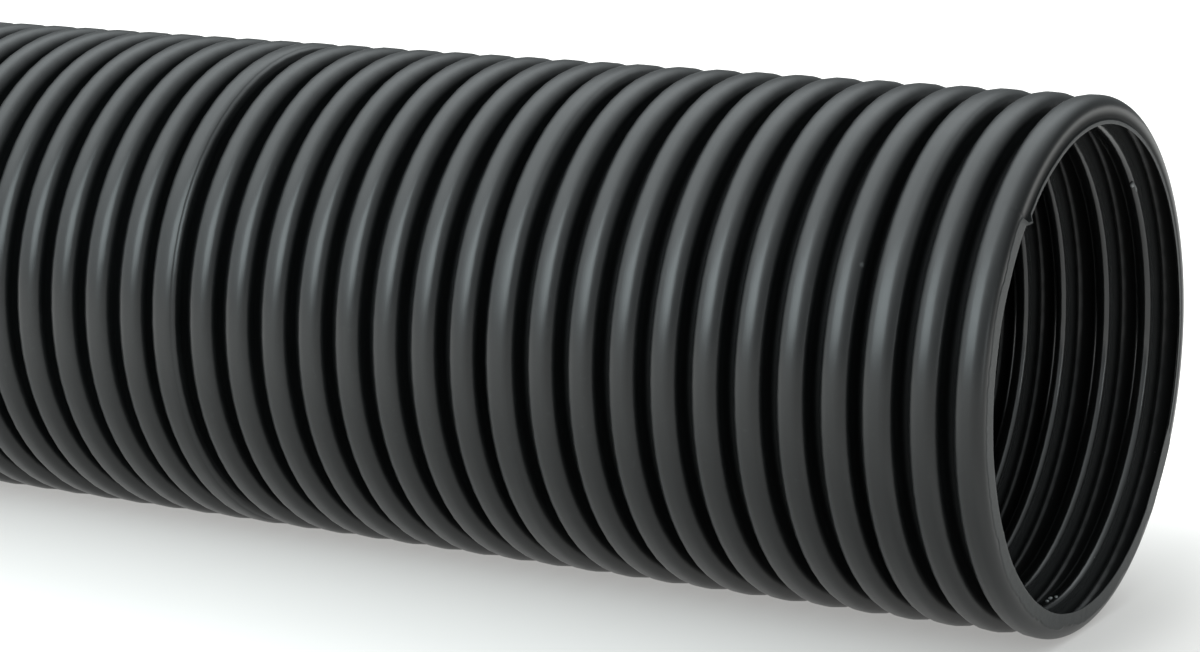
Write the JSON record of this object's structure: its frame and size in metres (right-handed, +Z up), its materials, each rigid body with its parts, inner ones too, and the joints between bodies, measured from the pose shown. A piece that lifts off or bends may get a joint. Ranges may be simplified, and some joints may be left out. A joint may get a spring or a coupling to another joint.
{
  "type": "corrugated riser pipe",
  "caption": "Length of single-wall corrugated plastic riser pipe with round rings, one end saw-cut unevenly beside a ring and the other cut square in a groove.",
  "frame": {"origin": "on the ground under the middle of the pipe's length, where the lowest crests of the rings rest", "axes": "+X along the pipe towards its unevenly sawn end, +Y across it, +Z up"},
  "size_m": [1.4992, 0.4759, 0.476],
  "materials": {
    "pipe_wall": "satin charcoal thermoplastic, darker in the grooves and inside"
  },
  "bodies": {
    "root": {"riser_pipe": "pipe_wall"}
  },
  "joints": []
}
